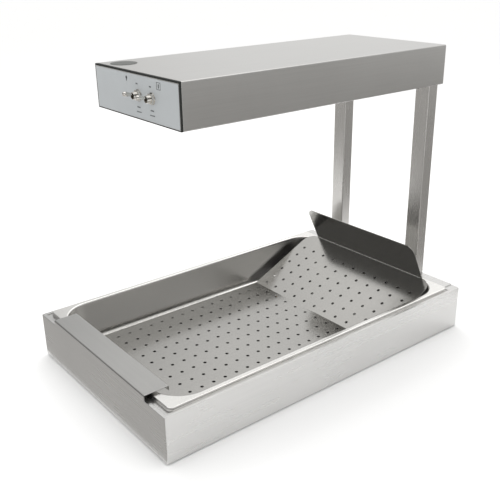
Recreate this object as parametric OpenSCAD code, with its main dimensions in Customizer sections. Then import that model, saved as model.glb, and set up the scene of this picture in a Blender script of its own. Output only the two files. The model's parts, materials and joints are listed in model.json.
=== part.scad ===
// Countertop fry warmer: a heated base holds a lift-out pan with a perforated
// floor and ramp, and two rear posts carry a lamp hood above it.
// Origin: centre of the footprint on the worktop, gland included. +Z up, -Y is the control end.

/* [Base] */
// Width of the base
base_w = 350; // [330:1:380]
// Depth of the base from the control end to the posts
base_l = 564; // [564:1:600]
// Height of the rim of the base above the worktop
base_h = 70; // [66:1:80]
// Thickness of the folded steel sheet
sheet = 1.2; // [0.8:0.1:1.5]
// Width of the folded rim of the base
rim_w = 5.5; // [3:0.5:8]
// Distance from the outside of the base to the pan well
well_inset = 13; // [12:0.5:13]
// Height of the rubber feet below the base
foot_h = 1.5; // [1:0.5:4]

/* [Front bridge] */
// Width of the folded bridge over the front of the pan
bridge_w = 258; // [200:1:264]
// How far the bridge stands above the rim
bridge_rise = 8; // [7:0.5:12]
// How far back the bridge reaches
bridge_l = 37; // [30:1:40]

/* [Pan] */
// Width of the pan over its flange
pan_w = 336; // [334:1:338]
// Length of the pan over its flange
pan_l = 530; // [526:1:530]
// Width of the pan's flange
flange_w = 8.5; // [8:0.5:10]
// Depth of the pan below its flange
pan_depth = 64; // [60:1:65]
// Radius of the pan's upright corners
pan_corner = 44; // [38:1:46]

/* [Perforated insert] */
// Angle of the ramp
ramp_angle = 25.3; // [20:0.1:28]
// Length of the ramp up its slope
ramp_l = 148; // [130:1:148]
// Height of the deflector above the fold
deflector_l = 68; // [40:1:80]
// Forward lean of the deflector from upright
deflector_lean = 25; // [10:1:35]
// Distance between holes in one row
hole_pitch = 25.4; // [20:0.1:27]
// Distance between neighbouring rows
row_pitch = 20.4; // [16:0.1:21]
// Diameter of the drain holes
hole_d = 4.6; // [3:0.1:6]

/* [Hood and posts] */
// Width of the hood
hood_w = 205; // [190:1:230]
// Length of the hood
hood_l = 481; // [440:1:500]
// Height of the hood box
hood_h = 59; // [50:1:80]
// Height of the underside of the hood above the worktop
hood_z = 387; // [340:1:430]
// Width of each post
post_w = 26.5; // [20:0.5:30]
// Depth of each post
post_l = 20; // [15:0.5:20]

/* [Controls] */
// Distance between the two toggle switches
switch_gap = 32; // [26:1:50]
// Swing of a toggle lever each side of straight out
lever_swing = 12; // [8:1:14]

/* [Hidden] */

gland_out = 14;
front_y = -(base_l + gland_out) / 2;
rear_y = front_y + base_l;
base_mid_y = (front_y + rear_y) / 2;
foot_x = base_w / 2 - 30;
foot_y = base_l / 2 - 35;
tray_top = foot_h + sheet;
pan_y0 = front_y + 12;
pan_y1 = pan_y0 + pan_l;
pan_top = base_h + 4;
pan_floor = pan_top - pan_depth;
pan_in_w = pan_w - 2 * flange_w;
pan_in_y0 = pan_y0 + flange_w;
pan_in_y1 = pan_y1 - flange_w;
pan_taper = 2;

insert_w = 292;
insert_z = pan_floor + 5;
insert_y0 = front_y + bridge_l + 8;
ramp_y = front_y + 398;
first_row_y = front_y + 101;
floor_rows = 15;
ramp_rows = 6;
hole_columns = 11;
ramp_first_row = 10.5;
ramp_corner = 22;

hood_y0 = front_y + 92;
hood_y1 = hood_y0 + hood_l;
hood_top = hood_z + hood_h;
post_x = hood_w / 2 - 1.5 - post_w;
post_y0 = rear_y - post_l;
post_top = hood_top - 5;
post_t = 1.5;
gasket_t = 1.6;
face_y = hood_y0 + 0.2;
panel_y = face_y + sheet + gasket_t;
tray_w = hood_w - 2 * sheet - 0.4;
tray_h = hood_h - 2 * sheet - 1.4;
tray_z = hood_z + sheet + 0.2;
collar_d = 9.6;
baffle_z = hood_z + sheet;
reflector_y0 = hood_y0 + 60;
reflector_y1 = hood_y0 + 420;
gland_x = -base_w / 2 + 60;
gland_z = base_h / 2 - 2;

steel = "#b9b7b2";
dark_steel = "#8e8c86";
chrome = "#d6d6d6";
rubber = "#2a2a2a";

// A rectangle with round corners, centred in x and running from y0 to y1
module round_rect(w, y0, y1, r) {
    l = y1 - y0;
    translate([0, (y0 + y1) / 2]) {
        square([w - 2 * r, l], center = true);
        square([w, l - 2 * r], center = true);
        for (sx = [-1, 1], sy = [-1, 1])
            translate([sx * (w / 2 - r), sy * (l / 2 - r)]) circle(r, $fn = 64);
    }
}

// A sheet-metal wall loop between two round rectangles
module ring(w, y0, y1, r, t) {
    difference() {
        round_rect(w, y0, y1, r);
        round_rect(w - 2 * t, y0 + t, y1 - t, max(r - t, 0.3));
    }
}

// Head of a pan-head screw with a cross recess, standing on z = 0
module screw_head(d) {
    difference() {
        union() {
            cylinder(d = d, h = d * 0.22, $fn = 32);
            translate([0, 0, d * 0.22]) cylinder(d1 = d, d2 = d * 0.6, h = d * 0.16, $fn = 32);
        }
        for (a = [0, 90])
            rotate(a) translate([-d * 0.3, -d * 0.07, d * 0.2]) cube([d * 0.6, d * 0.14, d]);
    }
}

// Places its children at both switch centres
module at_switches() {
    for (i = [0, 1])
        translate([switch_x(i), hood_y0, switch_z]) children();
}
function switch_x(i) = 8.5 + i * switch_gap;
switch_z = hood_z + 31;

/* ---- Base ---- */

// The front bridge's outline in y and z, a channel open downwards
module bridge_profile() {
    top = base_h + bridge_rise;
    r = 2;
    difference() {
        union() {
            translate([0, base_h - 4]) square([bridge_l, bridge_rise + 4 - r]);
            translate([r, base_h]) square([bridge_l - 2 * r, bridge_rise]);
            for (y = [r, bridge_l - r]) translate([y, top - r]) circle(r, $fn = 32);
        }
        translate([sheet, base_h - 5]) square([bridge_l - 2 * sheet, bridge_rise + 5 - sheet]);
        translate([bridge_l / 2, base_h - 5]) square([bridge_l, 6]);
    }
}

// Open box with an inward rim all round and the raised bridge at the control end
module base_housing() {
    color(steel) difference() {
        union() {
            translate([0, 0, foot_h]) linear_extrude(base_h - foot_h)
                ring(base_w, front_y, rear_y, 2, sheet);
            translate([0, 0, base_h - sheet]) linear_extrude(sheet)
                ring(base_w - 0.4, front_y + 0.2, rear_y - 0.2, 2, rim_w);
            translate([-base_w / 2 + 1, pan_y1 + 0.4, base_h - sheet])
                cube([base_w - 2, rear_y - pan_y1 - 1.1, sheet]);
            translate([-bridge_w / 2, front_y, 0]) rotate([90, 0, 90])
                linear_extrude(bridge_w) bridge_profile();
        }
        for (s = [-1, 1]) translate([s * (post_x + post_w / 2) - post_w / 2 - 0.2, pan_y1, base_h - 2])
            cube([post_w + 0.4, rear_y - sheet - pan_y1, 4]);
        translate([gland_x, rear_y + 1, gland_z]) rotate([90, 0, 0]) cylinder(d = 12.1, h = 4, $fn = 48);
    }
}

// Frame under the rim, one sheet lower, whose lip surrounds the pan
module well_frame() {
    inner_w = base_w - 2 * well_inset;
    inner_y0 = front_y + well_inset;
    inner_y1 = rear_y - 28;
    color(steel) {
        translate([0, 0, base_h - 2 * sheet]) linear_extrude(sheet) difference() {
            round_rect(base_w - 2 * sheet - 0.4, front_y + sheet + 0.2, rear_y - 22, 1);
            round_rect(inner_w, inner_y0, inner_y1, 3);
        }
        translate([0, 0, base_h - 10]) linear_extrude(10 - 1.5 * sheet)
            ring(inner_w + 2 * sheet, inner_y0 - sheet, inner_y1 + sheet, 3 + sheet, sheet);
    }
}

// Flat tray that closes the base from below
module bottom_plate() {
    color(dark_steel) difference() {
        translate([0, 0, foot_h]) linear_extrude(sheet)
            round_rect(base_w - 2 * sheet - 0.6, front_y + sheet + 0.3, rear_y - sheet - 0.3, 1.5);
        for (sx = [-1, 1], sy = [-1, 1])
            translate([sx * foot_x, base_mid_y + sy * foot_y, -1]) cylinder(d = 5, h = 6, $fn = 32);
    }
}

// Four push-in feet with a stem through the tray
module rubber_feet() {
    color(rubber) for (sx = [-1, 1], sy = [-1, 1])
        translate([sx * foot_x, base_mid_y + sy * foot_y, 0]) rotate_extrude($fn = 48)
            polygon([[0, 0], [8, 0], [9, foot_h * 0.6], [9, foot_h], [2.5, foot_h], [2.5, tray_top],
                [3.6, tray_top], [2.2, tray_top + 2.2], [0, tray_top + 2.2]]);
}

// Screws that hold the tray
module bottom_screws() {
    color(chrome) for (sx = [-1, 1], j = [-1:1])
        translate([sx * (base_w / 2 - 12), base_mid_y + j * 180, foot_h]) mirror([0, 0, 1])
            screw_head(3.6);
}

// Flat deck behind the pan with an opening for each post
module rear_deck() {
    deck_w = 320;
    color(steel) translate([0, 0, base_h]) linear_extrude(sheet) difference() {
        round_rect(deck_w, pan_y1 + 0.5, rear_y - 0.6, 0.5);
        for (s = [-1, 1]) translate([s * (post_x + post_w / 2), rear_y - post_l / 2 - sheet])
            square([post_w + 0.4, post_l + 0.4], center = true);
    }
}

// One rectangular tube that rises from inside the base into the hood
module post(s) {
    color(steel) translate([s * (post_x + post_w / 2), post_y0 - sheet + post_l / 2, 0]) {
        translate([0, 0, foot_h + sheet]) linear_extrude(post_top - foot_h - sheet) difference() {
            translate([0, -post_l / 2]) round_rect(post_w, 0, post_l, 1.5);
            translate([0, -post_l / 2]) round_rect(post_w - 2 * post_t, post_t, post_l - post_t, 0.5);
        }
    }
}
module left_post() { post(-1); }
module right_post() { post(1); }

// Hexagon bolts through the rear wall of the base into the posts
module post_bolts() {
    color(chrome) for (s = [-1, 1], z = [24, 50])
        translate([s * (post_x + post_w / 2), rear_y, z]) rotate([-90, 0, 0])
            cylinder(d = 9.2, h = 3.2, $fn = 6);
}

// Insulation between the tray and the heating mat
module insulation_pad() {
    color("#d9d2b8") translate([0, 0, tray_top]) linear_extrude(2.3)
        round_rect(260, base_mid_y - 200, base_mid_y + 160, 12);
}

// Flat heating mat under the pan
module heater_mat() {
    color("#a8662e") translate([0, 0, tray_top + 2.3]) linear_extrude(2.5)
        round_rect(240, base_mid_y - 190, base_mid_y + 150, 12);
}

// Round snap-action thermostat beside the mat
module thermostat() {
    color("#d8d4c8") translate([-60, rear_y - 70, tray_top]) {
        cylinder(d = 16, h = 3.4, $fn = 48);
        translate([0, 0, 3.4]) cylinder(d = 10, h = 2.2, $fn = 32);
    }
}

// Gland that a mains lead would enter through
module cable_gland() {
    color(rubber) translate([gland_x, rear_y, gland_z]) rotate([-90, 0, 0])
        difference() {
            union() {
                translate([0, 0, -10]) cylinder(d = 12, h = 11, $fn = 48);
                cylinder(d = 18, h = 5, $fn = 6);
                translate([0, 0, 5]) cylinder(d1 = 16, d2 = 12, h = gland_out - 5, $fn = 48);
            }
            translate([0, 0, -11]) cylinder(d = 7, h = 30, $fn = 48);
        }
}

// Lock nut of the gland on the inside of the wall
module gland_nut() {
    color(rubber) translate([gland_x, rear_y - sheet, gland_z]) rotate([90, 0, 0])
        difference() {
            cylinder(d = 18, h = 4, $fn = 6);
            translate([0, 0, -1]) cylinder(d = 12, h = 6, $fn = 48);
        }
}

// Three-way terminal block on the tray
module terminal_block() {
    color("#e8e6df") translate([-40, rear_y - 18, tray_top]) difference() {
        cube([30, 11, 13]);
        for (i = [0:2]) translate([5 + 10 * i, 5.5, 9]) cylinder(d = 5, h = 5, $fn = 24);
    }
}

// Wires from the terminal block forwards to the mat and the thermostat
module base_wiring() {
    color("#3a3a3a") for (i = [0:2])
        translate([-35 + 10 * i, rear_y - 18, tray_top + 2]) rotate([90, 0, 0])
            cylinder(d = 2.4, h = 60 + 8 * i, $fn = 16);
}

/* ---- Pan and insert ---- */

// A tapered block that is the pan's inside or outside
module pan_block(w, y0, y1, r, z0, z1, taper) {
    hull() {
        translate([0, 0, z1 - 0.01]) linear_extrude(0.01) round_rect(w, y0, y1, r);
        translate([0, 0, z0 + 5]) linear_extrude(0.01)
            round_rect(w - 2 * taper, y0 + taper, y1 - taper, r - taper);
        translate([0, 0, z0]) linear_extrude(0.01)
            round_rect(w - 2 * taper - 10, y0 + taper + 5, y1 - taper - 5, r - taper - 5);
    }
}

// Deep pan with a narrow flange and a turned-down edge
module pan() {
    color(steel) difference() {
        union() {
            translate([0, 0, pan_top - 1]) linear_extrude(1) round_rect(pan_w, pan_y0, pan_y1, 7);
            translate([0, 0, base_h - 1]) linear_extrude(4.6) ring(pan_w, pan_y0, pan_y1, 7, 1);
            pan_block(pan_in_w + 2, pan_in_y0 - 1, pan_in_y1 + 1, pan_corner + 1,
                pan_floor - 1, pan_top - 0.5, pan_taper);
        }
        pan_block(pan_in_w, pan_in_y0, pan_in_y1, pan_corner, pan_floor, pan_top + 0.01, pan_taper);
    }
}

// A square field of drain holes, centred in x
module hole_field(rows, first_y) {
    for (i = [0:hole_columns - 1], j = [0:rows - 1])
        translate([(i - (hole_columns - 1) / 2) * hole_pitch, first_y + j * row_pitch]) circle(d = hole_d, $fn = 16);
}

// Perforated floor with short side lips that stand on the pan
module insert_floor() {
    lip = 3.4;
    translate([0, 0, insert_z - sheet]) linear_extrude(sheet) difference() {
        translate([-insert_w / 2, insert_y0]) square([insert_w, ramp_y - insert_y0 + 0.4]);
        hole_field(floor_rows, first_row_y);
    }
    for (s = [-1, 1]) translate([s * (insert_w / 2 - sheet / 2), (insert_y0 + ramp_y) / 2, insert_z - lip / 2])
        cube([sheet, ramp_y - insert_y0, lip], center = true);
}

// Perforated ramp, whose top corners are round
module insert_ramp() {
    translate([0, ramp_y, insert_z]) rotate([ramp_angle, 0, 0]) translate([0, 0, -sheet])
        linear_extrude(sheet) difference() {
            union() {
                translate([-insert_w / 2, 0]) square([insert_w, ramp_l - ramp_corner]);
                translate([-insert_w / 2 + ramp_corner, 0]) square([insert_w - 2 * ramp_corner, ramp_l]);
                for (s = [-1, 1]) translate([s * (insert_w / 2 - ramp_corner), ramp_l - ramp_corner])
                    circle(ramp_corner, $fn = 64);
            }
            hole_field(ramp_rows, ramp_first_row);
        }
}

// Plain deflector that leans forward from the top of the ramp
module insert_deflector() {
    w = insert_w - 2 * ramp_corner;
    r = 14;
    translate([0, ramp_y + ramp_l * cos(ramp_angle), insert_z + ramp_l * sin(ramp_angle)])
        rotate([90 + deflector_lean, 0, 0]) translate([0, 0, -sheet / 2]) linear_extrude(sheet) {
            translate([-w / 2, -0.3]) square([w, deflector_l - r + 0.3]);
            translate([-w / 2 + r, 0]) square([w - 2 * r, deflector_l]);
            for (s = [-1, 1]) translate([s * (w / 2 - r), deflector_l - r]) circle(r, $fn = 48);
        }
}

module perforated_insert() {
    color(steel) union() {
        insert_floor();
        insert_ramp();
        insert_deflector();
    }
}

/* ---- Hood ---- */

// Folded top, sides and bottom returns of the hood
module hood_profile() {
    r = 2;
    difference() {
        translate([-hood_w / 2, hood_z]) {
            translate([r, 0]) square([hood_w - 2 * r, hood_h]);
            translate([0, r]) square([hood_w, hood_h - 2 * r]);
            for (x = [r, hood_w - r], z = [r, hood_h - r]) translate([x, z]) circle(r, $fn = 32);
        }
        translate([-hood_w / 2 + sheet, hood_z + sheet]) square([hood_w - 2 * sheet, hood_h - 2 * sheet]);
        translate([-hood_w / 2 + 16, hood_z - 1]) square([hood_w - 32, 5]);
    }
}

module hood_shell() {
    color(dark_steel) difference() {
        translate([0, panel_y, 0]) rotate([90, 0, 0]) mirror([0, 0, 1])
            linear_extrude(hood_y1 - panel_y) hood_profile();
        for (s = [-1, 1]) translate([s * (post_x + post_w / 2), post_y0 - sheet + post_l / 2, hood_z])
            cube([post_w + 0.4, post_l + 0.4, 8], center = true);
    }
}

// Rear end panel with a stiffening return at the top
module hood_rear_panel() {
    color(dark_steel) {
        translate([-tray_w / 2, hood_y1 - sheet, tray_z]) cube([tray_w, sheet, hood_h - 2 * sheet - 0.4]);
        translate([-tray_w / 2, hood_y1 - 8, hood_top - 2 * sheet - 0.2]) cube([tray_w, 8, sheet]);
    }
}

// Front end panel: a tray whose returns slide into the hood
module control_panel() {
    color("#9fa4a6") difference() {
        translate([-tray_w / 2, face_y, tray_z]) cube([tray_w, 12, tray_h]);
        translate([-tray_w / 2 + sheet, face_y + sheet, tray_z + sheet])
            cube([tray_w - 2 * sheet, 12, tray_h - 2 * sheet]);
        at_switches() rotate([90, 0, 0]) cylinder(d = collar_d + 0.1, h = 8, center = true, $fn = 48);
    }
}

// Dark gasket round the control panel, against the end of the hood
module panel_gasket() {
    color(rubber) translate([0, panel_y, 0]) rotate([90, 0, 0])
        linear_extrude(panel_y - face_y) difference() {
            translate([-hood_w / 2 + 0.3, hood_z + 0.3]) square([hood_w - 0.6, hood_h - 0.6]);
            translate([-tray_w / 2, tray_z]) square([tray_w, tray_h]);
        }
}

// Thin overlay with holes for the switch collars
module panel_label() {
    color("#b3b8ba") translate([0, face_y, 0]) rotate([90, 0, 0])
        linear_extrude(0.2) difference() {
            translate([-tray_w / 2 + 1, tray_z + 0.6]) square([tray_w - 2, tray_h - 1.6]);
            for (i = [0, 1]) translate([switch_x(i), switch_z]) circle(d = collar_d + 0.1, $fn = 48);
        }
}

// A row of short dashes, centred on its origin
module dash_row(count, dash, height) {
    pitch = dash + 0.9;
    for (i = [0:count - 1])
        translate([(i - (count - 1) / 2) * pitch, 0]) square([dash, height], center = true);
}

// Plain printed marks: dashes at each switch, a lamp sign and a boxed bar
module label_marks() {
    box_w = 8.8;
    line = 0.6;
    color("#4a5054") translate([0, face_y - 0.2, 0]) rotate([90, 0, 0]) linear_extrude(0.15) {
        for (i = [0, 1]) translate([switch_x(i) - 3, switch_z]) {
            translate([0, 14]) dash_row(2, 1.6, 1.6);
            translate([2, -15]) dash_row(3, 1.8, 1.6);
            translate([2, -21]) dash_row(4, 2, 1.2);
        }
        translate([-19, hood_z + 50]) circle(d = 3.8, $fn = 32);
        translate([-19, hood_z + 47]) square([1.4, 2.6], center = true);
        translate([57, hood_z + 48]) {
            difference() {
                square(box_w, center = true);
                square(box_w - 2 * line, center = true);
            }
            square([1.6, 5], center = true);
        }
    }
}

// Blank oval badge on top of the hood
module blank_badge() {
    color("#a9aba6") translate([-72, hood_y0 + 27, hood_top]) cylinder(d = 36, h = 0.3, $fn = 64);
}

// Screws in the rear panel and along the underside
module hood_screws() {
    color(chrome) for (s = [-1, 1]) {
        for (z = [14, 46]) translate([s * 88, hood_y1, hood_z + z]) rotate([-90, 0, 0]) screw_head(6);
        for (y = [36, 434]) translate([s * 52, hood_y0 + y, baffle_z]) mirror([0, 0, 1]) screw_head(4);
    }
}

// Flat plates that close the underside before and behind the reflector
module underside_baffles() {
    color(dark_steel) translate([0, 0, baffle_z]) linear_extrude(sheet) {
        translate([-tray_w / 2, face_y + 12.2]) square([tray_w, reflector_y0 - face_y - 12.4]);
        difference() {
            translate([-tray_w / 2, reflector_y1 + 0.2]) square([tray_w, hood_y1 - sheet - 0.4 - reflector_y1]);
            for (s = [-1, 1]) translate([s * (post_x + post_w / 2), post_y0 - sheet + post_l / 2])
                square([post_w + 0.4, post_l + 0.4], center = true);
        }
    }
}

// Polished trough that throws the heat down, with side flanges on the hood's returns
module reflector() {
    outer = hood_w / 2 - sheet - 0.3;
    mouth = 84;
    crown = 60;
    z0 = baffle_z;
    z1 = hood_z + 40;
    t = sheet;
    color("#dcdcdc") translate([0, reflector_y0, 0]) rotate([90, 0, 0]) mirror([0, 0, 1])
        linear_extrude(reflector_y1 - reflector_y0)
            polygon([[-outer, z0], [-outer, z0 + t], [-mouth - t, z0 + t], [-crown - t, z1],
                [crown + t, z1], [mouth + t, z0 + t], [outer, z0 + t], [outer, z0],
                [mouth, z0], [crown, z1 - t], [-crown, z1 - t], [-mouth, z0]]);
}

lamp_x = 34;
lamp_z = hood_z + 22;
lamp_y0 = hood_y0 + 72;
lamp_len = 336;

// Two quartz heat lamps along the hood
module heat_lamps() {
    color("#e8d9b8") for (s = [-1, 1]) translate([s * lamp_x, lamp_y0, lamp_z]) rotate([-90, 0, 0]) {
        cylinder(d = 10, h = lamp_len, $fn = 48);
        translate([0, 0, -6]) cylinder(d = 7, h = lamp_len + 12, $fn = 32);
    }
}

// Ceramic end holders of the lamps
module lamp_holders() {
    color("#efece4") for (s = [-1, 1], e = [0, 1])
        translate([s * lamp_x, lamp_y0 + (e == 0 ? -6.2 : lamp_len + 6.2), lamp_z])
            translate([-8, e == 0 ? -5 : 0, -9]) cube([16, 5, 25]);
}

// Welded wire guard under the lamps
module lamp_guard() {
    z = hood_z + 3;
    color(chrome) {
        for (x = [-60, -20, 20, 60]) translate([x, hood_y0 + 62, z]) rotate([-90, 0, 0])
            cylinder(d = 2.4, h = 356, $fn = 16);
        for (j = [0:9]) translate([-81, hood_y0 + 66 + j * 38.6, z + 1.6]) rotate([0, 90, 0])
            cylinder(d = 2.4, h = 162, $fn = 16);
    }
}

// Wire loom above the reflector
module hood_wiring() {
    color("#3a3a3a") for (i = [0:2]) translate([-80 + 4 * i, hood_y0 + 40, hood_z + 46])
        rotate([-90, 0, 0]) cylinder(d = 2.6, h = 410, $fn = 16);
}

/* ---- Switches ---- */

// Switch cases behind the panel
module switch_bodies() {
    color("#7d2a24") at_switches() translate([-6.5, 3, -9.5]) cube([13, 20, 19]);
}

// Threaded collars through the panel, hollow for the lever's ball
module switch_bushings() {
    color(chrome) at_switches() rotate([90, 0, 0]) difference() {
        translate([0, 0, -3]) cylinder(d = collar_d, h = 12, $fn = 48);
        translate([0, 0, -4]) cylinder(d = 6.4, h = 8, $fn = 48);
        translate([0, 0, 3.5]) cylinder(d = 8, h = 8, $fn = 48);
    }
}

// Washers and hexagon nuts on the front of the panel
module switch_nuts() {
    color(chrome) at_switches() rotate([90, 0, 0]) difference() {
        union() {
            cylinder(d = 15.4, h = 0.8, $fn = 48);
            translate([0, 0, 0.8]) cylinder(d = 14.6, h = 3, $fn = 6);
        }
        translate([0, 0, -1]) cylinder(d = collar_d, h = 8, $fn = 48);
    }
}

// A bat-shaped lever whose pivot is its own origin, pointing along -Y, with a cross pin through its ball
module lever(tilt) {
    color(chrome) rotate([-tilt, 0, 0]) {
        rotate([90, 0, 0]) rotate_extrude($fn = 48)
            polygon([[0, -2.6], [2.3, -1.3], [2.6, 0], [2.2, 1.4], [1.5, 2.4], [1.5, 6], [2.9, 17],
                [2.9, 19], [2.2, 20.6], [0, 21.4]]);
        rotate([0, 90, 0]) cylinder(d = 1.6, h = 6.2, center = true, $fn = 32);
    }
}
pivot_out = 1.6;
module lamp_lever() {
    translate([switch_x(0), hood_y0 - pivot_out, switch_z]) lever(lever_swing);
}
module base_lever() {
    translate([switch_x(1), hood_y0 - pivot_out, switch_z]) lever(lever_swing);
}

base_housing();
well_frame();
bottom_plate();
rubber_feet();
bottom_screws();
rear_deck();
left_post();
right_post();
post_bolts();
insulation_pad();
heater_mat();
thermostat();
cable_gland();
gland_nut();
terminal_block();
base_wiring();
pan();
perforated_insert();
hood_shell();
hood_rear_panel();
control_panel();
panel_gasket();
panel_label();
label_marks();
blank_badge();
hood_screws();
underside_baffles();
reflector();
heat_lamps();
lamp_holders();
lamp_guard();
hood_wiring();
switch_bodies();
switch_bushings();
switch_nuts();
lamp_lever();
base_lever();
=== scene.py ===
import json
import math
import bmesh
import bpy
from mathutils import Matrix, Vector

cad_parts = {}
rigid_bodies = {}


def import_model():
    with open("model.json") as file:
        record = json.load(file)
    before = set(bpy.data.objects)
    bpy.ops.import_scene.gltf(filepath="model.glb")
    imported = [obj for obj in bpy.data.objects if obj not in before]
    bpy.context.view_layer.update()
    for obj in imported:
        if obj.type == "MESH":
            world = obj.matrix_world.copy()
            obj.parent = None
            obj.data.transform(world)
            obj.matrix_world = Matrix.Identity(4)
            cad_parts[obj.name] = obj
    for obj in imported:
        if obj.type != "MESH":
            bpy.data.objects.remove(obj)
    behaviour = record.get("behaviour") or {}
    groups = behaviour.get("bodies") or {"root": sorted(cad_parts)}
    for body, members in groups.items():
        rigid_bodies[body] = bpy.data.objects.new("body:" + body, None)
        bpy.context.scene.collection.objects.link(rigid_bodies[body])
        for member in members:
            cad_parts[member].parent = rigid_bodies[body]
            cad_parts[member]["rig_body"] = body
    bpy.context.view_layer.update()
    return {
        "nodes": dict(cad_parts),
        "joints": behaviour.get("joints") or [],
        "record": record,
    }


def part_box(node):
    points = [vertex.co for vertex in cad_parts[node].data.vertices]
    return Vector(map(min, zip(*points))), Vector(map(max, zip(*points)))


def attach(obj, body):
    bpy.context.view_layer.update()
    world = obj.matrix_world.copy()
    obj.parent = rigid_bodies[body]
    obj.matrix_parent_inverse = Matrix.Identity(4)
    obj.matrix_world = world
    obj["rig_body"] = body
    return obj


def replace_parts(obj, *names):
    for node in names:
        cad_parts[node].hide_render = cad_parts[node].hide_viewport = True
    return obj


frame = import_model()
MM = 0.001
X, Y, Z = 0, 1, 2


# ---------------------------------------------------------------- places taken from the frame
housing_low, housing_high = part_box("base_housing")
pan_low, pan_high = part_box("pan")
insert_low, insert_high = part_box("perforated_insert")
front_y = housing_low.y


# ---------------------------------------------------------------- camera
CAMERA_FROM_FRONT = (0.81593, -0.36696, 0.58557)
YAW = 0.90745
PITCH = 0.390505
ROLL = -0.0160377
LENS_MM = 52.867
SENSOR_MM = 36.0


def make_camera():
    forward = Vector((-math.sin(YAW) * math.cos(PITCH),
                      math.cos(YAW) * math.cos(PITCH),
                      -math.sin(PITCH)))
    right = forward.cross(Vector((0, 0, 1))).normalized()
    up = right.cross(forward)
    right_rolled = math.cos(ROLL) * right + math.sin(ROLL) * up
    up_rolled = math.cos(ROLL) * up - math.sin(ROLL) * right
    data = bpy.data.cameras.new("camera")
    data.lens = LENS_MM
    data.sensor_width = SENSOR_MM
    camera = bpy.data.objects.new("camera", data)
    bpy.context.scene.collection.objects.link(camera)
    turn = Matrix((right_rolled, up_rolled, -forward)).transposed().to_4x4()
    place = Vector(CAMERA_FROM_FRONT) + Vector((0, front_y, 0))
    camera.matrix_world = Matrix.Translation(place) @ turn
    bpy.context.scene.camera = camera


make_camera()


# ---------------------------------------------------------------- node helpers
class Nodes:
    """Short names for building one node tree."""

    def __init__(self, tree):
        self.tree = tree

    def add(self, kind, **settings):
        node = self.tree.nodes.new(kind)
        for key, value in settings.items():
            setattr(node, key, value)
        return node

    def link(self, start, end):
        self.tree.links.new(start, end)

    def place(self, space="Object"):
        return self.add("ShaderNodeTexCoord").outputs[space]

    def math(self, operation, *values):
        node = self.add("ShaderNodeMath", operation=operation)
        for socket, value in zip(node.inputs, values):
            if isinstance(value, (int, float)):
                socket.default_value = value
            else:
                self.link(value, socket)
        return node.outputs[0]

    def noise(self, vector, scale, detail, roughness=0.5):
        node = self.add("ShaderNodeTexNoise")
        node.inputs["Scale"].default_value = scale
        node.inputs["Detail"].default_value = detail
        node.inputs["Roughness"].default_value = roughness
        self.link(vector, node.inputs["Vector"])
        return node.outputs["Fac"]

    def stretched(self, vector, scale):
        node = self.add("ShaderNodeMapping")
        node.inputs["Scale"].default_value = scale
        self.link(vector, node.inputs["Vector"])
        return node.outputs[0]

    def ramp(self, factor, stops):
        node = self.add("ShaderNodeValToRGB")
        while len(node.color_ramp.elements) < len(stops):
            node.color_ramp.elements.new(0.5)
        for element, (place, colour) in zip(node.color_ramp.elements, stops):
            element.position = place
            element.color = (*colour, 1.0)
        self.link(factor, node.inputs[0])
        return node.outputs[0]

    def bump(self, height, strength, distance):
        node = self.add("ShaderNodeBump")
        node.inputs["Strength"].default_value = strength
        node.inputs["Distance"].default_value = distance
        self.link(height, node.inputs["Height"])
        return node.outputs[0]

    def ease(self, value, start, end, low, high):
        """Goes smoothly from low to high while the value goes from start to end."""
        node = self.add("ShaderNodeMapRange", interpolation_type="SMOOTHSTEP")
        node.inputs["From Min"].default_value = start
        node.inputs["From Max"].default_value = end
        node.inputs["To Min"].default_value = low
        node.inputs["To Max"].default_value = high
        self.link(value, node.inputs["Value"])
        return node.outputs[0]


def new_material(name, metallic, ior=1.5):
    material = bpy.data.materials.new(name)
    material.use_nodes = True
    tree = material.node_tree
    shader = tree.nodes["Principled BSDF"]
    shader.inputs["Metallic"].default_value = metallic
    shader.inputs["IOR"].default_value = ior
    return material, Nodes(tree), shader


def tones(colour, spread):
    """Ramp stops: the colour a little darker, then a little lighter."""
    darker = tuple(c * (1 - spread) for c in colour)
    lighter = tuple(min(1, c * (1 + spread)) for c in colour)
    return [(0.25, darker), (0.75, lighter)]


# ---------------------------------------------------------------- materials
# Noise scales along the brush marks and across them, and how much of a face's normal lies along
# an axis when the face counts as looking down that axis.
BRUSH_ALONG = 9.0
BRUSH_ACROSS = 1400.0
END_FACE = 0.7
FINE_RELIEF = 0.03 * MM


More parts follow.
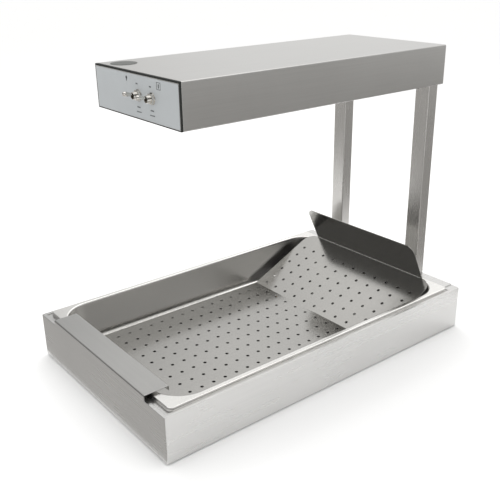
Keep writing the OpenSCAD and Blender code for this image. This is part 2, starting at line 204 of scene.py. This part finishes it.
def brushed_steel(name, colour, along, roughness=0.27, spread=0.08, mottle=0.0):
    """Steel brushed along one axis. Faces that look down that axis are brushed along X or Y."""
    material, n, shader = new_material(name, 1.0)
    place = n.place()
    marks = [BRUSH_ACROSS] * 3
    marks[along] = BRUSH_ALONG
    end_marks = [BRUSH_ACROSS] * 3
    end_marks[Y if along == X else X] = BRUSH_ALONG
    split = n.add("ShaderNodeSeparateXYZ")
    n.link(n.place("Normal"), split.inputs[0])
    choose = n.add("ShaderNodeMix", data_type="VECTOR")
    n.link(n.math("GREATER_THAN", n.math("ABSOLUTE", split.outputs[along]), END_FACE),
           choose.inputs["Factor"])
    n.link(n.stretched(place, marks), choose.inputs["A"])
    n.link(n.stretched(place, end_marks), choose.inputs["B"])
    brush = choose.outputs["Result"]

    wider = (0.12, 0.12, 0.12)
    fine = n.noise(brush, scale=1.0, detail=2.0)
    wide = n.noise(n.stretched(brush, wider), scale=1.0, detail=3.0)
    cloud = n.noise(place, scale=7.0, detail=3.0)
    speck = n.noise(place, scale=420.0, detail=1.0)

    fine_share, wide_share, cloud_share = 0.45, 0.10, 0.45
    tone = n.math("MULTIPLY_ADD", fine, fine_share, n.math("MULTIPLY", wide, wide_share))
    tone = n.math("MULTIPLY_ADD", cloud, cloud_share, tone)
    tone = n.math("MULTIPLY_ADD", n.math("SUBTRACT", speck, 0.5), mottle, tone)
    n.link(n.ramp(tone, tones(colour, spread)), shader.inputs["Base Color"])

    wide_gloss, cloud_gloss = 0.03, 0.04
    rough = n.math("MULTIPLY_ADD", wide, wide_gloss, roughness - wide_gloss / 2)
    rough = n.math("MULTIPLY_ADD", n.math("SUBTRACT", cloud, 0.5), cloud_gloss, rough)
    n.link(rough, shader.inputs["Roughness"])
    n.link(n.bump(fine, 0.05, FINE_RELIEF), shader.inputs["Normal"])
    return material


def bright_plate(name, colour, roughness):
    """Nickel or chrome plate with faint polishing marks and handling haze."""
    material, n, shader = new_material(name, 1.0)
    place = n.place()
    haze = n.noise(place, scale=60.0, detail=4.0)
    marks = n.noise(n.stretched(place, (900, 900, 150)), scale=1.0, detail=2.0)
    haze_gloss = 0.10
    n.link(n.ramp(haze, tones(colour, 0.06)), shader.inputs["Base Color"])
    n.link(n.math("MULTIPLY_ADD", haze, haze_gloss, roughness - haze_gloss / 2),
           shader.inputs["Roughness"])
    n.link(n.bump(marks, 0.06, FINE_RELIEF), shader.inputs["Normal"])
    return material


def plain_surface(name, colour, roughness, spread=0.10, scale=250.0, relief=0.06 * MM):
    """Rubber, ceramic, plastic, felt or card: fine grain in colour, gloss and relief."""
    material, n, shader = new_material(name, 0.0)
    place = n.place()
    grain = n.noise(place, scale, detail=4.0, roughness=0.6)
    cloud = n.noise(place, scale * 0.04, detail=3.0)
    grain_gloss = 0.12
    tone = n.math("MULTIPLY_ADD", cloud, 0.5, n.math("MULTIPLY", grain, 0.5))
    n.link(n.ramp(tone, tones(colour, spread)), shader.inputs["Base Color"])
    n.link(n.math("MULTIPLY_ADD", grain, grain_gloss, roughness - grain_gloss / 2),
           shader.inputs["Roughness"])
    n.link(n.bump(grain, 0.25, relief), shader.inputs["Normal"])
    return material


def label_film(name, colour, roughness, coat=0.25):
    """Satin printed film over metal, with the fine texture of a hard-coated overlay."""
    material, n, shader = new_material(name, 0.35)
    place = n.place()
    texture = n.noise(place, scale=1500.0, detail=2.0)
    cloud = n.noise(place, scale=14.0, detail=3.0)
    texture_gloss = 0.10
    n.link(n.ramp(cloud, tones(colour, 0.035)), shader.inputs["Base Color"])
    n.link(n.math("MULTIPLY_ADD", texture, texture_gloss, roughness - texture_gloss / 2),
           shader.inputs["Roughness"])
    n.link(n.bump(texture, 0.12, FINE_RELIEF), shader.inputs["Normal"])
    shader.inputs["Coat Weight"].default_value = coat
    shader.inputs["Coat Roughness"].default_value = 0.35
    return material


def quartz_glass(name):
    """Milky quartz with a warm tint."""
    material, n, shader = new_material(name, 0.0, 1.46)
    cloud = n.noise(n.place(), scale=40.0, detail=3.0)
    n.link(n.ramp(cloud, tones((0.93, 0.84, 0.72), 0.05)), shader.inputs["Base Color"])
    n.link(n.math("MULTIPLY_ADD", cloud, 0.10, 0.18), shader.inputs["Roughness"])
    shader.inputs["Transmission Weight"].default_value = 0.55
    return material


LOOKS = {
    "brushed_steel": brushed_steel("base_steel", (0.665, 0.660, 0.650), Y),
    "post_steel": brushed_steel("post_steel", (0.54, 0.530, 0.514), Z),
    "hood_steel": brushed_steel("hood_steel", (0.475, 0.470, 0.458), Y, roughness=0.29),
    "pan_steel": brushed_steel("pan_steel", (0.84, 0.829, 0.808), Y, roughness=0.26),
    "insert_steel": brushed_steel("insert_steel", (0.425, 0.418, 0.401), Y, roughness=0.19,
                                  mottle=0.5),
    "plain_steel": brushed_steel("mill_steel", (0.50, 0.50, 0.49), X, roughness=0.38,
                                 spread=0.128),
    "mirror_steel": bright_plate("reflector_polish", (0.86, 0.86, 0.86), 0.10),
    "bright_metal": bright_plate("nickel_plate", (0.74, 0.72, 0.68), 0.14),
    "black_rubber": plain_surface("black_rubber", (0.012, 0.014, 0.012), 0.75),
    "insulation": plain_surface("felted_fibre", (0.62, 0.56, 0.40), 0.92, spread=0.22,
                                scale=90.0, relief=0.6 * MM),
    "silicone": plain_surface("heater_silicone", (0.34, 0.10, 0.035), 0.62, spread=0.12,
                              scale=320.0),
    "ceramic": plain_surface("ceramic", (0.80, 0.78, 0.71), 0.58, spread=0.05, scale=180.0),
    "white_plastic": plain_surface("terminal_plastic", (0.72, 0.71, 0.66), 0.42, spread=0.05,
                                   scale=300.0),
    "wire": plain_surface("wire_sleeve", (0.03, 0.03, 0.032), 0.65, spread=0.2, scale=600.0),
    "label_film": label_film("label_film", (0.50, 0.525, 0.54), 0.42),
    "label_ink": plain_surface("label_ink", (0.03, 0.034, 0.036), 0.5, spread=0.2, scale=900.0,
                               relief=0.01 * MM),
    "badge_film": label_film("badge_film", (0.10, 0.104, 0.098), 0.50, coat=0.0),
    "quartz": quartz_glass("quartz"),
    "red_plastic": plain_surface("switch_plastic", (0.30, 0.035, 0.025), 0.40, spread=0.08,
                                 scale=300.0),
}
# Partly real, partly painted shade: the housing steel brushed crosswise and made darker, for the
# housing's top faces.
BRIDGE_PAINTED_SHADE_STEEL = brushed_steel("bridge_shaded_steel", (0.45, 0.447, 0.437), X, roughness=0.32)
# Painted highlight: a much lighter, rougher copy of the steel for the faces of the insert's upper
# fold.
PAINTED_FOLD_HIGHLIGHT = brushed_steel("fold_painted_highlight", (0.90, 0.89, 0.87), X, roughness=0.45)
# Painted shade: a near-black copy of the steel for the walls of the insert's holes.
PAINTED_HOLE_SHADE = brushed_steel("hole_painted_shade", (0.12, 0.118, 0.115), Z, roughness=0.50)
FILAMENT = bright_plate("tungsten_wire", (0.30, 0.27, 0.25), 0.35)
SLOT_OF = {part["node"]: part["material_slot"] for part in frame["record"]["subparts"]}


# ---------------------------------------------------------------- mesh helpers
def add_object(name, mesh):
    obj = bpy.data.objects.new(name, mesh)
    bpy.context.scene.collection.objects.link(obj)
    return obj


def object_from(name, work):
    """A new object of the bmesh, which is freed."""
    bmesh.ops.recalc_face_normals(work, faces=work.faces)
    mesh = bpy.data.meshes.new(name)
    work.to_mesh(mesh)
    work.free()
    return add_object(name, mesh)


def shade(mesh, angle):
    """Smooth shading, with an edge wherever the surface turns by more than the angle."""
    for face in mesh.polygons:
        face.use_smooth = True
        face.material_index = 0
    mesh.set_sharp_from_angle(angle=math.radians(angle))


def finish_piece(obj, body, slot_name):
    obj.data.materials.clear()
    obj.data.materials.append(LOOKS[slot_name])
    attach(obj, body)


def apply_modifiers(obj):
    bpy.context.view_layer.update()
    evaluated = obj.evaluated_get(bpy.context.evaluated_depsgraph_get())
    mesh = bpy.data.meshes.new_from_object(evaluated)
    obj.modifiers.clear()
    obj.data = mesh


def keep_flats_flat(obj):
    """Large faces keep their own normals, so only the small rounds look curved."""
    weighted = obj.modifiers.new("flats", "WEIGHTED_NORMAL")
    weighted.mode = "FACE_AREA"
    weighted.keep_sharp = True
    weighted.weight = 100
    weighted.thresh = 0.01


def body_of(node):
    return frame["nodes"][node]["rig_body"]


# Points this close together are one, and faces that turn by fewer degrees than this are one.
SAME_POINT = 0.002 * MM
FLAT_ANGLE = 0.6


def soften(node, width, segments=2, angle=24.0, prepare=None):
    """A copy of a CAD node with a small round wherever it turns by more than the angle."""
    mesh = frame["nodes"][node].data.copy()
    for layer in ("custom_normal", "sharp_edge", "sharp_face"):
        if layer in mesh.attributes:
            mesh.attributes.remove(mesh.attributes[layer])
    work = bmesh.new()
    work.from_mesh(mesh)
    bmesh.ops.remove_doubles(work, verts=work.verts, dist=SAME_POINT)
    bmesh.ops.dissolve_limit(work, angle_limit=math.radians(FLAT_ANGLE), verts=work.verts,
                             edges=work.edges)
    if prepare:
        prepare(work)
    work.to_mesh(mesh)
    work.free()
    shade(mesh, angle)
    obj = add_object(node + "_formed", mesh)
    bevel = obj.modifiers.new("edges", "BEVEL")
    bevel.width = width
    bevel.segments = segments
    bevel.limit_method = "ANGLE"
    bevel.angle_limit = math.radians(angle)
    bevel.use_clamp_overlap = False
    keep_flats_flat(obj)
    apply_modifiers(obj)
    finish_piece(obj, body_of(node), SLOT_OF[node])
    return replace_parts(obj, node)


def quarter_turn(steps):
    """Angles from 0 to 90 degrees."""
    return [math.pi / 2 * i / steps for i in range(steps + 1)]


def loop_points(width, y0, y1, radius, z, steps=12):
    """Corner by corner, the points of a round rectangle centred in x."""
    points = []
    for quarter in range(4):
        sx = 1 if quarter in (0, 3) else -1
        sy = 1 if quarter in (0, 1) else -1
        cx = sx * (width / 2 - radius)
        cy = (y1 - radius) if sy > 0 else (y0 + radius)
        for i in range(steps + 1):
            a = math.pi / 2 * (quarter + i / steps)
            points.append((cx + radius * math.cos(a), cy + radius * math.sin(a), z))
    return points


def loft(name, loops):
    """A skin over the loops, closed at the last one."""
    work = bmesh.new()
    rings = [[work.verts.new(p) for p in loop] for loop in loops]
    count = len(rings[0])
    for a, b in zip(rings, rings[1:]):
        for i in range(count):
            j = (i + 1) % count
            work.faces.new((a[i], a[j], b[j], b[i]))
    work.faces.new(rings[-1])
    return object_from(name, work)


def turned(name, profile, centre, steps=48):
    """A piece turned about an axis towards the front. profile holds (radius, distance) pairs."""
    on_axis = 1e-7
    work = bmesh.new()
    rings = []
    for i in range(steps):
        a = 2 * math.pi * i / steps
        rings.append([work.verts.new((centre[X] + radius * math.cos(a),
                                      centre[Y] - distance,
                                      centre[Z] + radius * math.sin(a)))
                      for radius, distance in profile])
    for i in range(steps):
        a, b = rings[i], rings[(i + 1) % steps]
        for k in range(len(profile) - 1):
            work.faces.new((a[k], b[k], b[k + 1], a[k + 1]))
    bmesh.ops.remove_doubles(work, verts=work.verts, dist=on_axis)
    return object_from(name, work)


# ---------------------------------------------------------------- pan
def make_pan():
    """Pressed pan: a turned-down edge, a flat flange, and walls that blend into the bottom."""
    width = pan_high.x - pan_low.x
    top = pan_high.z
    hem = 5 * MM
    depth = 64 * MM
    flange = 8.5 * MM
    shoulder = 1.6 * MM
    lip = 2.6 * MM
    draft = 2 * MM
    foot = 5 * MM
    corner = 7 * MM
    opening = 44 * MM

    def ring(inset, radius, z):
        return loop_points(width - 2 * inset, pan_low.y + inset, pan_high.y - inset, radius, z)

    loops = [ring(0, corner, top - hem)]
    for a in quarter_turn(4):
        inset = shoulder * (1 - math.cos(a))
        loops.append(ring(inset, corner - inset, top - shoulder + shoulder * math.sin(a)))
    for a in quarter_turn(5):
        grow = lip * (1 - math.sin(a))
        loops.append(ring(flange - grow, opening + grow, top - lip * (1 - math.cos(a))))
    for a in quarter_turn(6):
        inset = draft + foot * (1 - math.cos(a))
        loops.append(ring(flange + inset, opening - inset,
                          top - depth + foot * (1 - math.sin(a))))
    pan = loft("pan_pressed", loops)
    facing = sum((f.normal.z * f.area for f in pan.data.polygons), 0.0)
    if facing < 0:
        pan.data.flip_normals()
    sheet = pan.modifiers.new("sheet", "SOLIDIFY")
    sheet.thickness = 0.9 * MM
    sheet.offset = -1.0
    shade(pan.data, 40.0)
    keep_flats_flat(pan)
    apply_modifiers(pan)
    finish_piece(pan, "pan", "pan_steel")
    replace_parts(pan, "pan")


make_pan()


# ---------------------------------------------------------------- sheet-metal parts
def make_housing():
    """The base housing, with its front bridge brushed crosswise and its top faces in a darker copy
    of the steel as painted shade.
    """
    housing = soften("base_housing", 0.5 * MM)
    housing.data.materials.append(BRIDGE_PAINTED_SHADE_STEEL)
    bridge_bottom = pan_high.z - 3.5 * MM
    # Faces near the top take the darker copy of the steel, which is painted shade.
    for face in housing.data.polygons:
        face.material_index = 1 if face.center.z > bridge_bottom else 0


# The upper fold is the one between the insert's ramp and its deflector. Edges shorter than
# FOLD_LENGTH aren't part of it.
INSERT_SHEET = 1.2 * MM
FOLD_RADIUS = 1.5 * MM
FOLD_LENGTH = 100 * MM
FOLD_ABOVE_FLOOR = 40 * MM
FOLD_BELOW_TOP = 20 * MM


def near_fold(z):
    """True at about the height of the upper fold."""
    return insert_low.z + FOLD_ABOVE_FLOOR < z < insert_high.z - FOLD_BELOW_TOP


def round_fold(work):
    """Gives the upper fold a radius inside and outside."""
    level = 0.1 * MM
    folded = math.radians(30)
    for convex, radius in ((False, FOLD_RADIUS), (True, FOLD_RADIUS + INSERT_SHEET)):
        edges = []
        for edge in work.edges:
            a, b = (vert.co for vert in edge.verts)
            along_x = abs(a.y - b.y) < level and abs(a.z - b.z) < level
            if not along_x or abs(a.x - b.x) <= FOLD_LENGTH:
                continue
            if len(edge.link_faces) != 2 or edge.is_convex != convex:
                continue
            if near_fold(a.z) and edge.calc_face_angle() > folded:
                edges.append(edge)
        bmesh.ops.bevel(work, geom=edges, offset=radius, offset_type="OFFSET", segments=6,
                        profile=0.5, affect="EDGES", clamp_overlap=False)


def make_insert():
    """The folded insert, with a painted highlight on its upper fold and painted shade on the walls
    of its holes.
    """
    insert = soften("perforated_insert", 0.28 * MM, 2, 20.0, round_fold)
    insert.data.materials.append(PAINTED_FOLD_HIGHLIGHT)
    insert.data.materials.append(PAINTED_HOLE_SHADE)
    fold_strip = 1.5 * MM
    hole_face = 5 * MM
    hole_field = 125 * MM
    ramp_top = insert_high.z - 55 * MM
    for face in insert.data.polygons:
        corners = [insert.data.vertices[i].co for i in face.vertices]
        span = [max(c[k] for c in corners) - min(c[k] for c in corners) for k in (X, Y, Z)]
        narrow = max(span[Y], span[Z]) < fold_strip
        in_holes = abs(face.center.x) < hole_field and face.center.z < ramp_top
        # The narrow faces along the upper fold get the painted highlight.
        if near_fold(face.center.z) and span[X] > FOLD_LENGTH and narrow:
            face.material_index = 1
        # The small faces among the holes get the painted shade.
        elif max(span) < hole_face and in_holes:
            face.material_index = 2


make_housing()
soften("well_frame", 0.25 * MM)
make_insert()
# Node, radius of its edges in mm, and the number of faces across each round.
for rounded, edge_radius, faces_across in (
    ("left_post", 0.3, 2),
    ("right_post", 0.3, 2),
    ("hood_shell", 0.3, 2),
    ("hood_rear_panel", 0.3, 2),
    ("control_panel", 0.3, 2),
    ("bottom_plate", 0.3, 2),
    ("reflector", 0.4, 2),
    ("underside_baffles", 0.25, 2),
    ("terminal_block", 0.5, 2),
    ("lamp_holders", 0.8, 3),
    ("switch_bodies", 0.6, 2),
    ("switch_nuts", 0.3, 2),
    ("post_bolts", 0.5, 2),
    ("cable_gland", 0.4, 2),
    ("gland_nut", 0.4, 2),
    ("insulation_pad", 0.8, 3),
    ("heater_mat", 0.6, 3),
):
    soften(rounded, edge_radius * MM, faces_across)


# ---------------------------------------------------------------- switches
def frame_joint(name):
    """Where a joint is, in the frame."""
    joint = next(j for j in frame["joints"] if j["name"] == name)
    return Vector(joint["pos_m"])


def make_bushings():
    """Threaded collars: a fine V thread outside and a dished mouth round the lever."""
    low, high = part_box("switch_bushings")
    radius = (high.z - low.z) / 2
    behind_pivot = 1.6 * MM
    y_face = frame_joint("lamp_toggle")[Y] + behind_pivot
    tip = y_face - low.y
    tail = y_face - high.y
    pitch = 0.75 * MM
    root = radius - 0.35 * MM
    chamfer = 0.3 * MM
    crown = radius - 0.6 * MM
    bore = 3.2 * MM
    mouth = 4.0 * MM
    lead_in = (mouth + 0.1 * MM, tip), (mouth, tip - 0.2 * MM)
    mouth_floor = 3.6 * MM
    bore_end = 3.4 * MM
    for joint in ("lamp_toggle", "base_toggle"):
        x, _, z = frame_joint(joint)
        profile = [(bore, tail), (root, tail)]
        t = tail + pitch / 2
        while t < tip - pitch:
            profile.append((radius, t))
            profile.append((root, t + pitch / 2))
            t += pitch
        profile += [(root, tip - chamfer), (crown, tip), *lead_in,
                    (mouth, mouth_floor), (bore, bore_end), (bore, tail)]
        collar = turned(joint + "_collar", profile, (x, y_face, z))
        shade(collar.data, 25.0)
        finish_piece(collar, "base", "bright_metal")
        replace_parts(collar, "switch_bushings")


make_bushings()


def make_levers():
    """Bat-shaped levers with a round tip, each on a ball inside its collar."""
    tilt = math.radians(-12)
    ball = 2.55 * MM
    ball_steps = 8
    neck = 1.5 * MM
    neck_start = 2.4 * MM
    neck_end = 3.0 * MM
    grip = 2.9 * MM
    taper_start = 5.0 * MM
    taper_length = 12.5 * MM
    taper_steps = 12
    tip_centre = 18.5 * MM
    profile = []
    for i in range(ball_steps + 1):
        a = math.radians(-90 + 140 * i / ball_steps)
        profile.append((max(ball * math.cos(a), 0.0), ball * math.sin(a)))
    profile += [(neck, neck_start), (neck, neck_end)]
    for i in range(taper_steps + 1):
        u = i / taper_steps
        profile.append((neck + (grip - neck) * (3 * u * u - 2 * u ** 3),
                        taper_start + taper_length * u))
    for a in quarter_turn(10):
        profile.append((max(grip * math.cos(a), 0.0), tip_centre + grip * math.sin(a)))
    for joint, node in (("lamp_toggle", "lamp_lever"), ("base_toggle", "base_lever")):
        pivot = frame_joint(joint)
        lever = turned(node + "_bat", profile, pivot)
        lever.data.transform(Matrix.Translation(pivot) @ Matrix.Rotation(tilt, 4, "X")
                             @ Matrix.Translation(-pivot))
        shade(lever.data, 35.0)
        finish_piece(lever, body_of(node), "bright_metal")
        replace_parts(lever, node)


make_levers()


# ---------------------------------------------------------------- lamps
def make_filaments():
    """A coil of wire inside each quartz tube."""
    low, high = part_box("heat_lamps")
    tube_radius = 5 * MM
    coil_radius = 2.1 * MM
    wire_radius = 0.35 * MM
    pitch = 3.2 * MM
    steps = 10
    end_gap = 12 * MM
    z = (low.z + high.z) / 2
    length = high.y - low.y - 2 * end_gap
    for side, x in (("left", low.x + tube_radius), ("right", high.x - tube_radius)):
        count = int(length / pitch * steps)
        curve = bpy.data.curves.new("filament_" + side, "CURVE")
        curve.dimensions = "3D"
        curve.bevel_depth = wire_radius
        curve.bevel_resolution = 1
        line = curve.splines.new("POLY")
        line.points.add(count - 1)
        for i, point in enumerate(line.points):
            a = 2 * math.pi * i / steps
            y = low.y + end_gap + length * i / count
            point.co = (x + coil_radius * math.cos(a), y, z + coil_radius * math.sin(a), 1)
        wire = add_object("filament_" + side, curve)
        curve.materials.append(FILAMENT)
        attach(wire, "base")


make_filaments()


# ---------------------------------------------------------------- looks of the carried-over parts
for node_name, obj in frame["nodes"].items():
    obj.data.materials.clear()
    obj.data.materials.append(LOOKS[SLOT_OF[node_name]])


# ---------------------------------------------------------------- floor and light
def flat_sheet(name, low, high, z):
    """A level rectangle between two corners."""
    mesh = bpy.data.meshes.new(name)
    mesh.from_pydata([(low[X], low[Y], z), (high[X], low[Y], z),
                      (high[X], high[Y], z), (low[X], high[Y], z)], [], [(0, 1, 2, 3)])
    return add_object(name, mesh)


def reflection_card(name, low, high, brightness):
    """A grey card lying on the floor that only reflections see."""
    card = flat_sheet(name, low, high, 2 * MM)
    material = bpy.data.materials.new(name)
    material.use_nodes = True
    shader = material.node_tree.nodes["Principled BSDF"]
    shader.inputs["Base Color"].default_value = (0, 0, 0, 1)
    shader.inputs["Roughness"].default_value = 1.0
    shader.inputs["Specular IOR Level"].default_value = 0.0
    shader.inputs["Emission Color"].default_value = (1.0, 0.98, 0.95, 1)
    shader.inputs["Emission Strength"].default_value = brightness
    card.data.materials.append(material)
    for ray in ("camera", "diffuse", "transmission", "volume_scatter", "shadow"):
        setattr(card, "visible_" + ray, False)


def make_cards():
    """Cards beside the base on its right and in front of it."""
    side = housing_high.x
    middle = side + 0.62
    far_out = 3.0
    reflection_card("near_side_card", (side + 0.15, -0.25), (middle, 0.40), 0.66)
    reflection_card("post_card", (side + 0.02, 0.40), (middle, far_out), 0.42)
    reflection_card("far_side_card", (middle, -0.25), (side + far_out, far_out), 0.42)
    reflection_card("front_card", (-far_out, -far_out), (side + 0.4, front_y - 4 * MM), 0.50)


def make_floor():
    reach = 14.0
    floor = flat_sheet("floor", (-reach, -reach), (reach, reach), 0)
    floor.data.materials.append(plain_surface("floor_card", (0.90, 0.90, 0.90), 0.9,
                                              spread=0.005, scale=3.0, relief=0.0))


def make_world():
    """White surroundings for the diffuse light, and a graded studio for what the metal reflects."""
    surroundings = 1.12
    world = bpy.data.worlds.new("studio")
    bpy.context.scene.world = world
    world.use_nodes = True
    n = Nodes(world.node_tree)
    background = world.node_tree.nodes["Background"]
    split = n.add("ShaderNodeSeparateXYZ")
    n.link(n.place("Generated"), split.inputs[0])
    x, y, z = split.outputs
    behind = n.ease(y, start=0.0, end=0.62, low=0.21, high=1.02)
    right = n.ease(x, start=-0.1, end=0.8, low=1.0, high=0.62)
    overhead = n.ease(z, start=0.48, end=0.80, low=0.0, high=0.95)
    studio = n.math("ADD", n.math("MULTIPLY", behind, right), overhead)
    mix = n.add("ShaderNodeMix", data_type="FLOAT")
    n.link(n.add("ShaderNodeLightPath").outputs["Is Glossy Ray"], mix.inputs["Factor"])
    mix.inputs["A"].default_value = surroundings
    n.link(studio, mix.inputs["B"])
    n.link(mix.outputs["Result"], background.inputs["Strength"])
    background.inputs["Color"].default_value = (1.0, 0.998, 0.99, 1.0)


def make_lights():
    """One soft lamp above, which reflections don't see."""
    aim = Vector((0, 0, 0.1))
    data = bpy.data.lights.new("overhead_softbox", "AREA")
    data.shape = "RECTANGLE"
    data.size = 1.4
    data.size_y = 1.8
    data.energy = 14.0
    light = add_object("overhead_softbox", data)
    light.visible_glossy = False
    light.location = (-0.5, 0.2, 1.7)
    light.rotation_euler = (aim - light.location).to_track_quat("-Z", "Y").to_euler()


make_floor()
make_cards()
make_world()
make_lights()
bpy.context.scene.view_settings.view_transform = "Standard"
bpy.context.scene.view_settings.look = "None"
